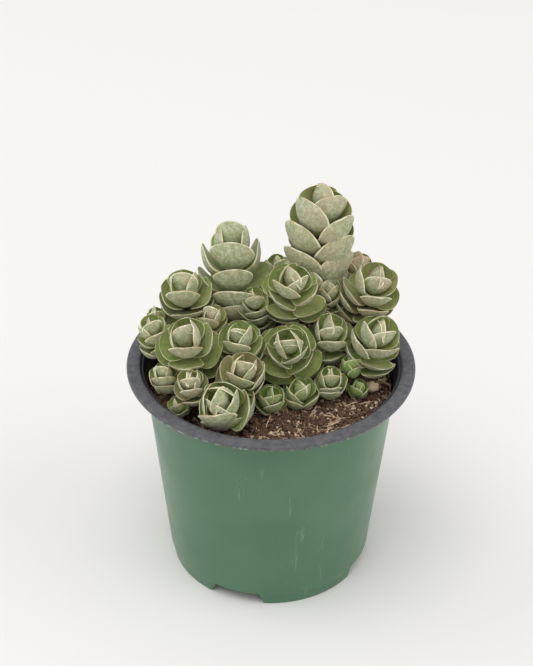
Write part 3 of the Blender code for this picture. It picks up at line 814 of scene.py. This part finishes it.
def build_dressing(settings):
    """Bark crumbs, grit, husk chips and root fibres strewn over the soil, and one larger root fragment."""
    colours = settings.colours
    generator = np.random.default_rng(DRESSING_SEED)
    crumb = plain_grain_material("bark_crumb", colours.soil, colours.soil_dark_and_gap_shade, 0.95)
    pale = plain_grain_material("perlite_grain", colours.perlite, colours.soil_pale, 0.9)
    tan = plain_grain_material("husk_chip", colours.soil_fibre, colours.soil_pale, 0.9)
    scatter_lumps("bark_crumbs", 900, (0.5, 2.0), generator, crumb, 0.6, 0.35)
    scatter_lumps("perlite_grains", 240, (0.3, 1.0), generator, pale, 0.85, 0.22, 0.15)
    scatter_lumps("husk_chips", 320, (0.35, 1.2), generator, tan, 0.35, 0.35, 0.1, 1.9)
    count, coarse = 300, 90
    x, y = scattered(count, generator, 0.85)
    thick = generator.uniform(0.08, 0.17, count) * MM
    thick[:coarse] = generator.uniform(0.20, 0.38, coarse) * MM
    points, quads, triangles = fibre_mesh(
        np.stack([x, y], axis=-1),
        generator.uniform(0, 2 * math.pi, count),
        generator.uniform(5, 18, count) * MM,
        thick,
        generator.uniform(-1.8, 1.8, count),
        generator,
    )
    fibre = plain_grain_material("root_fibre", colours.soil_fibre, colours.soil_pale, 0.85)
    piece = add_piece("root_fibres", points, quads, triangles, [fibre])
    stand_in(piece, "soil")
    build_husk_knot(colours)


def build_husk_knot(colours):
    """The one large pale fragment of root on the bare soil at the right: a rough lump with a bumpy outline."""
    generator = np.random.default_rng(KNOT_SEED)
    grid = lump_grid(1, 9, 14, generator, 0.8, 0.22)[0] * KNOT_RADIUS_MM * MM
    place = np.array([KNOT_X, KNOT_Y, 0.0])
    place[2] = soil_surface(place[:1], place[1:2])[0] + KNOT_RISE
    rings = (grid * [1.25, 0.85, 0.9] + place)[None]
    points, quads, triangles = capped_tubes(rings, rings[:, 0].mean(axis=1), rings[:, -1].mean(axis=1))
    material = plain_grain_material("root_knot", colours.husk_knot, colours.soil_fibre, 0.85)
    piece = add_piece("root_knot", points, quads, triangles, [material])
    stand_in(piece, "soil")


# ---------------------------------------------------------------------------------------------------------------
# Shoots
# ---------------------------------------------------------------------------------------------------------------

LEAF_ROWS = 17
LEAF_COLUMNS = 26
SPINE_STEPS = 64
STEM_ROWS = 40
STEM_COLUMNS = 16
BUD_CURL = math.radians(62)
BUD_OPENING = np.radians(6)
FIRST_SEED = 100

# The bud's front leaf is longer and leans in less than the one behind it, so that it laps over it. These are the
# share and the angle that each of the two differs by from the usual.
LAP_LENGTH = 0.09
LAP_LEAN = np.radians(3)

# A leaf that would reach into the pot's wall is raised by this angle at a time until it stands clear of it.
LIFT = math.radians(5)
MOST_LIFTS = 16


def leaf_rings(foot, out, side, up, length, width, thickness, rise, curl, cup, apex, generator):
    """Closed leaves, all at once, each a tube of wedge-edged sections from its foot to its tip.

    The spine starts at the foot and turns steadily upwards by curl, with rise as its angle above level half
    way along. The half width grows as a quarter sine wave to its widest place and closes from there in a blunt
    arch. Across the leaf the inner side is a trough, its depth growing as the square of the distance from the
    midrib, and the outer side lies below it by the thickness times a power of the sine round the section."""
    count = len(length)
    u = 1 - (1 - np.linspace(0, 1, LEAF_ROWS + 1)[:-1]) ** 1.6
    around = np.arange(LEAF_COLUMNS) * 2 * math.pi / LEAF_COLUMNS
    widest = generator.uniform(0.56, 0.64, (count, 1))
    lower = 0.54 + 0.46 * np.sin(math.pi / 2 * np.clip(u / widest, 0, 1)) ** 1.15
    upper = (1 - np.clip((u - widest) / (1 - widest), 0, 1) ** 2.3) ** apex
    outline = np.where(u < widest, lower, upper)
    depth = (1 - u**2.1) ** 0.9 * (0.80 + 0.20 * np.sin(math.pi * np.clip(u * 1.2, 0, 1)))
    fine = np.linspace(0, 1, SPINE_STEPS + 1)
    fine_angle = rise[:, None] + curl[:, None] * (fine - 0.5)
    run = np.cumsum(np.cos(fine_angle), axis=1) - np.cos(fine_angle[:, :1])
    climb = np.cumsum(np.sin(fine_angle), axis=1) - np.sin(fine_angle[:, :1])
    run = np.stack([np.interp(u, fine, row) for row in run]) / SPINE_STEPS * length[:, None]
    climb = np.stack([np.interp(u, fine, row) for row in climb]) / SPINE_STEPS * length[:, None]
    angle = rise[:, None] + curl[:, None] * (u - 0.5)
    sway = generator.uniform(-0.06, 0.06, count)[:, None] * u**2 * length[:, None]
    roll = (generator.uniform(-0.16, 0.16, count)[:, None] * (0.3 + u))[..., None]
    across = np.cos(around)
    half = (width[:, None] * outline)[..., None]
    phase = generator.uniform(0, 2 * math.pi, (count, 1, 1))
    ripple = 1 + 0.022 * np.sin(u[:, None] * 8 + 2.5 * across + phase)
    lateral = half * across * ripple
    trough = cup[:, None, None] * half * across**2
    low = np.clip(-np.sin(around), 0, 1)
    high = np.clip(np.sin(around), 0, 1)
    body = (thickness[:, None] * depth)[..., None]
    lift = trough - body * low**1.35 + 0.10 * body * high + lateral * roll
    wave = 0.012 * length[:, None, None] * np.sin(u[:, None] * 7 + phase * 3) * across**2
    lift = lift + wave
    radial = run[..., None] - lift * np.sin(angle)[..., None]
    rising = climb[..., None] + lift * np.cos(angle)[..., None]
    sideways = lateral + sway[..., None]
    frame_out, frame_side, frame_up = (axis[:, None, None, :] for axis in (out, side, up))
    rings = foot[:, None, None] + radial[..., None] * frame_out + sideways[..., None] * frame_side
    rings = rings + rising[..., None] * frame_up
    to_side = (1 - np.abs(across)) * half
    to_tip = np.broadcast_to(((1 - u) * length[:, None])[..., None], to_side.shape)
    edge = np.minimum(to_side, to_tip) / MM
    outer = np.broadcast_to(0.5 - 0.5 * np.clip(np.sin(around) * 3, -1, 1), edge.shape)
    along = np.broadcast_to(u[:, None], edge.shape)
    last = (1 - u[-1]) * length
    end = rings[:, -1].mean(axis=1)
    end = end + (last * np.cos(angle[:, -1]))[:, None] * out + (last * np.sin(angle[:, -1]))[:, None] * up
    return rings, rings[:, 0].mean(axis=1), end, edge, outer, along


def leaf_pairs(shoot):
    """Down the shoot from its bud: each pair's distance, rise, length, half width, curl, cup and share of opening.

    Pairs stand closer and steeper in the bud, and curl in over it; they open bit by bit to the oldest leaves' rise,
    and shrink again far down the stem."""
    full = shoot.leaf_length * shoot.spread
    gap = shoot.spacing * shoot.spread
    order = np.arange(shoot.pairs)
    steps = gap * np.clip(shoot.crown + 0.35 * order, 0, 1)
    backs = 0.95 * shoot.bud * full + np.concatenate([[0.0], np.cumsum(steps[:-1])])
    share = np.clip(order / shoot.opening, 0, 1)
    rise = math.radians(90) + (shoot.rise - math.radians(90)) * share**0.85
    far = np.clip((order - shoot.opening - 2) * 0.03, 0, 0.3)
    length = full * (shoot.bud + (1 - shoot.bud) * np.clip(share * 1.8, 0, 1)) * (1 - far)
    width = length * shoot.broad * (0.53 + 0.03 * np.clip(share * 2.5, 0, 1))
    curl = shoot.curl + (BUD_CURL - shoot.curl) * (1 - share)
    cup = shoot.cup * (0.9 - 0.2 * share)
    return backs, rise, length, width, curl, cup, share


def in_pot_wall(rings):
    """Which leaves reach into the wall or the rim. The wall's inner side widens evenly from the soil's foot up."""
    height = rings[..., 2]
    slope = (SOIL_RADIUS - SOIL_FOOT_RADIUS) / (SOIL_EDGE - SOIL_FOOT)
    inner = SOIL_FOOT_RADIUS + slope * (height - SOIL_FOOT)
    beyond = (np.hypot(rings[..., 0], rings[..., 1]) > inner) & (height < POT_HEIGHT + 0.2 * MM)
    return beyond.any(axis=(1, 2))


def build_shoot_leaves(shoot, material):
    """All leaves of one shoot: opposite pairs, each pair a quarter turn and a little more from the one above."""
    generator = np.random.default_rng(FIRST_SEED + shoot.seed)
    back, rise, length, width, curl, cup, share = leaf_pairs(shoot)
    pair = np.repeat(np.arange(len(back)), 2)
    which = np.tile([0, 1], len(back))
    count = len(pair)
    azimuth = shoot.turn + pair * (math.pi / 2 + shoot.twist) + which * math.pi
    azimuth = azimuth + generator.uniform(-0.13, 0.13, count)
    centre, upward = shoot.spine(back[pair])
    first = shoot.axes[:, 0] - upward * (upward @ shoot.axes[:, 0])[:, None]
    first /= np.linalg.norm(first, axis=1, keepdims=True)
    second = np.cross(upward, first)
    out = first * np.cos(azimuth)[:, None] + second * np.sin(azimuth)[:, None]
    side = np.cross(upward, out)
    vary = generator.uniform(0.91, 1.07, (3, count))
    length, width = length[pair] * vary[0], width[pair] * vary[1]
    thickness = length * shoot.thick * vary[2]
    rise = rise[pair] + np.radians(generator.uniform(-8, 8, count)) * (0.15 + share[pair])
    over = np.where(pair == 0, -np.sign(np.sin(azimuth)), 0.0)
    length, rise = length * (1 + LAP_LENGTH * over), rise + BUD_OPENING * (pair == 0) - LAP_LEAN * over
    inset = shoot.thickness * np.where(pair == 0, 0.12, 0.30) + shoot.spread * 0.12 * share[pair]
    foot = centre + out * inset[:, None]
    before = generator.bit_generator.state
    for _ in range(MOST_LIFTS):
        generator.bit_generator.state = before
        rings, start, end, edge, outer, along = leaf_rings(
            foot, out, side, upward, length, width, thickness, rise, curl[pair], cup[pair], shoot.apex, generator
        )
        pressed = in_pot_wall(rings)
        if not pressed.any():
            break
        rise = rise + LIFT * pressed
    points, quads, triangles = capped_tubes(rings, start, end)
    shape = edge.shape
    per_leaf = {
        "tint": generator.uniform(0, 1, count),
        "flush": shoot.flush + generator.uniform(-0.06, 0.16, count),
        "dry": np.clip(generator.uniform(-0.9, 1.0, count), 0, 1) * (0.35 + 0.65 * share[pair]),
    }
    fields = {
        "edge_mm": ring_fields(edge, 3.0, 0.0),
        "outer": ring_fields(outer, 1.0, 0.5),
        "along": ring_fields(along, 0.0, 1.0),
    }
    for name, values in per_leaf.items():
        spread = np.broadcast_to(values[:, None, None], shape).reshape(count, -1)
        fields[name] = np.concatenate([spread, values[:, None], values[:, None]], axis=1)
    piece = add_piece(shoot.name + "_foliage", points, quads, triangles, [material], fields)
    stand_in(piece, "leaf", shoot.name + "_leaves")


def build_shoot_stem(shoot, material):
    """A round stem from the soil up into the bud, with a low ring where each pair of leaves joins it."""
    rows, columns = STEM_ROWS, STEM_COLUMNS
    back = np.linspace(0.9 * shoot.spread, shoot.length + np.linalg.norm(shoot.tip - shoot.root), rows)[::-1]
    centre, upward = shoot.spine(back)
    around = np.arange(columns) * 2 * math.pi / columns
    first = shoot.axes[:, 0] - upward * (upward @ shoot.axes[:, 0])[:, None]
    first /= np.linalg.norm(first, axis=1, keepdims=True)
    second = np.cross(upward, first)
    joints = 1 + 0.07 * np.cos(2 * math.pi * back / (shoot.spacing * shoot.spread))
    radius = shoot.thickness * joints * np.linspace(1.08, 0.62, rows)
    ring = first[:, None] * np.cos(around)[None, :, None] + second[:, None] * np.sin(around)[None, :, None]
    rings = (centre[:, None] + ring * radius[:, None, None])[None]
    points, quads, triangles = capped_tubes(rings, centre[None, 0], centre[None, -1])
    piece = add_piece(shoot.name + "_stalk", points, quads, triangles, [material])
    stand_in(piece, "stem", shoot.name + "_stem")


# ---------------------------------------------------------------------------------------------------------------
# Stage
# ---------------------------------------------------------------------------------------------------------------


def build_stage(stage):
    """A wide pale floor, an even pale sky, three large soft lights, and the camera above and in front."""
    half, distance, size = 3.0, 3.0, 2.0
    points = [(-half, -half, 0), (half, -half, 0), (half, half, 0), (-half, half, 0)]
    n = Nodes("pale_floor")
    colour = np.array(stage.floor_colour)
    paper = n.mix(n.noise(6, 2.0), tuple(colour * 0.995), tuple(colour))
    n.set(Base_Color=paper, Roughness=0.9)
    n.shader.inputs["Specular IOR Level"].default_value = 0.1
    floor = add_piece("floor", points, [(0, 1, 2, 3)], [], [n.material])
    scene = bpy.context.scene
    scene.world = bpy.data.worlds.new("studio")
    scene.world.use_nodes = True
    sky = scene.world.node_tree.nodes["Background"]
    sky.inputs["Color"].default_value = (*stage.sky_colour, 1.0)
    sky.inputs["Strength"].default_value = stage.sky_strength
    centre = np.array([0.0, 0.0, 0.09])
    for name, azimuth, elevation, power in (
        ("overhead_light", -120, 68, stage.key_power),
        ("left_light", 170, 35, stage.fill_power),
        ("right_light", -15, 35, stage.fill_power),
    ):
        a, e = math.radians(azimuth), math.radians(elevation)
        away = np.array([math.cos(a) * math.cos(e), math.sin(a) * math.cos(e), math.sin(e)])
        light = bpy.data.lights.new(name, "AREA")
        light.energy, light.size = power, size
        lamp = bpy.data.objects.new(name, light)
        scene.collection.objects.link(lamp)
        lamp.location = centre + away * distance
        lamp.rotation_mode = "QUATERNION"
        lamp.rotation_quaternion = direction_to_quaternion(-away)
    build_camera(stage)
    scene.view_settings.view_transform = "Standard"
    scene.view_settings.look = "None"
    scene.view_settings.exposure = stage.exposure


def direction_to_quaternion(direction):
    """The turn that points a light's own -Z along a direction."""
    return Vector(direction).to_track_quat("-Z", "Y")


def build_camera(stage):
    """The camera looks down at its aim point, which lies behind and above the pot, so the pot sits low in view."""
    elevation, roll = stage.camera_elevation, stage.camera_roll
    back = Vector((0.0, -math.cos(elevation), math.sin(elevation)))
    right = Vector((1.0, 0.0, 0.0))
    up = back.cross(right)
    seen_right = right * math.cos(roll) - up * math.sin(roll)
    seen_up = right * math.sin(roll) + up * math.cos(roll)
    data = bpy.data.cameras.new("camera")
    data.sensor_width = 36.0
    data.lens = stage.camera_lens
    data.clip_start, data.clip_end = 0.05, 20.0
    camera = bpy.data.objects.new("camera", data)
    bpy.context.scene.collection.objects.link(camera)
    place = back * stage.camera_distance + up * stage.camera_rise - right * stage.camera_shift
    camera.matrix_world = Matrix.Translation(place) @ Matrix((seen_right, seen_up, back)).transposed().to_4x4()
    bpy.context.scene.camera = camera


# ---------------------------------------------------------------------------------------------------------------
# Settings, operators and panel
# ---------------------------------------------------------------------------------------------------------------


def length_setting(name, description, default):
    return bpy.props.FloatProperty(
        name=name, description=description, default=default, min=0.0, subtype="DISTANCE", unit="LENGTH", precision=5
    )


def colour_setting(name, description, red, green, blue):
    return bpy.props.FloatVectorProperty(
        name=name, description=description, default=srgb(red, green, blue), size=4, min=0.0, max=1.0, subtype="COLOR"
    )


def angle_setting(name, description, degrees):
    return bpy.props.FloatProperty(
        name=name, description=description, default=math.radians(degrees), subtype="ANGLE", unit="ROTATION"
    )


class PotSettings(bpy.types.PropertyGroup):
    rim_width: length_setting("Rim width", "Width of the flat rim", 5.3 * MM)
    lip_drop: length_setting("Lip", "How far the rim's outer lip hangs down", 2.1 * MM)
    foot_height: length_setting("Foot height", "Height of the step where the foot begins", 6.5 * MM)
    notch_height: length_setting("Notch height", "Height of the openings between the feet", 5.0 * MM)
    notch_angle: bpy.props.FloatProperty(
        name="Notch angle", description="Direction of the first notch, in degrees from +X", default=-109.0
    )
    drain_radius: length_setting("Drain hole", "Radius of the drain holes", 4.0 * MM)
    drain_circle: length_setting("Drain circle", "Distance of the outer drain holes from the axis", 29.0 * MM)


class ColourSettings(bpy.types.PropertyGroup):
    leaf_outside: colour_setting("Leaf outside", "Felted outer side", 188, 192, 156)
    leaf_outside_pale: colour_setting("Leaf outside, pale", "Pale grain of the outer side", 214, 214, 188)
    leaf_outside_dark: colour_setting("Leaf outside, dark", "Between the grains", 142, 152, 110)
    leaf_warm: colour_setting("Leaf outside, warm", "Rosy-brown clouding of the outer side", 206, 184, 152)
    leaf_inside: colour_setting("Leaf inside", "Smoother inner side", 174, 184, 108)
    leaf_inside_dark: colour_setting("Leaf inside, dark", "Shaded parts of the inner side", 138, 158, 80)
    leaf_margin: colour_setting("Leaf margin", "Pale line along the margin", 240, 234, 200)
    leaf_margin_rust: colour_setting("Leaf margin, aged", "Margin of older leaves", 200, 172, 128)
    leaf_young: colour_setting("Young leaf", "Fresh growth", 124, 160, 60)
    leaf_flush: colour_setting("Flushed leaf", "Pinkish leaves", 196, 160, 142)
    leaf_dry: colour_setting("Dry patch", "Scarred brown patches", 182, 138, 112)
    stem: colour_setting("Stem", "Stem bark", 110, 96, 70)
    stem_dark: colour_setting("Stem, dark", "Cracks in the bark", 66, 54, 40)
    soil: colour_setting("Soil", "Damp crumbs", 124, 92, 72)
    # the dark brown of crumbs and bark, also used as painted shade in the low gaps of the peat
    soil_dark_and_gap_shade: colour_setting("Soil, dark", "Gaps between crumbs", 36, 26, 22)
    soil_pale: colour_setting("Soil, pale", "Dusty crumbs", 172, 142, 114)
    soil_fibre: colour_setting("Fibre", "Roots and husk", 232, 206, 172)
    perlite: colour_setting("Perlite", "Pale grit", 236, 224, 190)
    husk_knot: colour_setting("Root knot", "Pale fragment on the soil", 244, 216, 184)
    pot_green: colour_setting("Pot green", "Outside of the wall", 74, 117, 86)
    pot_green_deep: colour_setting("Pot green, deep", "Cloudy variation of the wall", 68, 111, 80)
    pot_scuff: colour_setting("Pot scuff", "Rubbed plastic", 170, 192, 176)
    rim_dark: colour_setting("Rim", "Charcoal plastic", 72, 73, 78)
    rim_dust: colour_setting("Rim, dusty", "Dust on the rim", 120, 120, 124)
    rim_worn: colour_setting("Rim, worn", "Flecks along the rim's edge", 176, 180, 178)
    # charcoal of the inner layer, darkened with painted shade inside the pot
    pot_inside_and_shade: colour_setting("Pot inside", "Inner layer", 26, 28, 42)


class StageSettings(bpy.types.PropertyGroup):
    floor_colour: colour_setting("Floor", "Floor and backdrop", 236, 234, 232)
    sky_colour: bpy.props.FloatVectorProperty(
        name="Sky", description="Colour of the even light", default=(1.0, 0.995, 0.99), size=3, subtype="COLOR"
    )
    sky_strength: bpy.props.FloatProperty(name="Sky strength", description="Even light", default=0.72)
    key_power: bpy.props.FloatProperty(name="Key power", description="Overhead light", default=30.0, unit="POWER")
    fill_power: bpy.props.FloatProperty(name="Fill power", description="Side lights", default=16.0, unit="POWER")
    exposure: bpy.props.FloatProperty(name="Exposure", description="Exposure in stops", default=0.0)
    camera_distance: length_setting("Camera distance", "Distance from the pot's foot", 700 * MM)
    camera_rise: length_setting("Camera rise", "How far the camera is raised across its view", 92.4 * MM)
    camera_shift: length_setting("Camera shift", "How far the camera is moved to the left", 2.0 * MM)
    camera_elevation: angle_setting("Camera elevation", "How far the camera looks down", 33.1)
    camera_roll: angle_setting("Camera roll", "Turn of the picture", -0.54)
    camera_lens: bpy.props.FloatProperty(name="Lens", description="Focal length in millimetres", default=84.03)


class PlantSettings(bpy.types.PropertyGroup):
    pot: bpy.props.PointerProperty(type=PotSettings, name="Pot", description="Sizes of the pot")
    colours: bpy.props.PointerProperty(type=ColourSettings, name="Colours", description="Colours of all pieces")
    stage: bpy.props.PointerProperty(type=StageSettings, name="Stage", description="Floor, lights and camera")


class PLANT_OT_pot(bpy.types.Operator):
    """Build the nursery pot"""

    bl_idname = "plant.pot"
    bl_label = "Pot"

    def execute(self, context):
        build_pot(context.scene.jade_plant)
        return {"FINISHED"}


class PLANT_OT_soil(bpy.types.Operator):
    """Fill the pot with soil"""

    bl_idname = "plant.soil"
    bl_label = "Soil"

    def execute(self, context):
        build_soil(context.scene.jade_plant)
        return {"FINISHED"}


class PLANT_OT_dressing(bpy.types.Operator):
    """Strew grit, crumbs and root fibres over the soil"""

    bl_idname = "plant.dressing"
    bl_label = "Grit and Fibres"

    def execute(self, context):
        build_dressing(context.scene.jade_plant)
        return {"FINISHED"}


class PLANT_OT_stems(bpy.types.Operator):
    """Build the stems of all shoots"""

    bl_idname = "plant.stems"
    bl_label = "Stems"

    def execute(self, context):
        material = stem_material(context.scene.jade_plant.colours)
        for name in SHOOTS:
            build_shoot_stem(Shoot(name), material)
        return {"FINISHED"}


class PLANT_OT_leaves(bpy.types.Operator):
    """Build the leaves of all shoots"""

    bl_idname = "plant.leaves"
    bl_label = "Leaves"

    def execute(self, context):
        material = leaf_material(context.scene.jade_plant.colours)
        for name in SHOOTS:
            build_shoot_leaves(Shoot(name), material)
        return {"FINISHED"}


class PLANT_OT_stage(bpy.types.Operator):
    """Build the floor, the lights and the camera"""

    bl_idname = "plant.stage"
    bl_label = "Stage"

    def execute(self, context):
        build_stage(context.scene.jade_plant.stage)
        return {"FINISHED"}


class PLANT_PT_panel(bpy.types.Panel):
    """Lists the plant's builders"""

    bl_label = "Potted Jade Plant"
    bl_idname = "PLANT_PT_panel"
    bl_space_type = "VIEW_3D"
    bl_region_type = "UI"
    bl_category = "Plant"

    def draw(self, context):
        for step in STEPS:
            self.layout.operator(step.bl_idname)


STEPS = (PLANT_OT_pot, PLANT_OT_soil, PLANT_OT_dressing, PLANT_OT_stems, PLANT_OT_leaves, PLANT_OT_stage)
CLASSES = (PotSettings, ColourSettings, StageSettings, PlantSettings, *STEPS, PLANT_PT_panel)


def register():
    for item in CLASSES:
        bpy.utils.register_class(item)
    bpy.types.Scene.jade_plant = bpy.props.PointerProperty(type=PlantSettings)


def unregister():
    del bpy.types.Scene.jade_plant
    for item in reversed(CLASSES):
        bpy.utils.unregister_class(item)


def main():
    register()
    bpy.ops.plant.pot()
    bpy.ops.plant.soil()
    bpy.ops.plant.dressing()
    bpy.ops.plant.stems()
    bpy.ops.plant.leaves()
    bpy.ops.plant.stage()


if __name__ == "__main__":
    main()
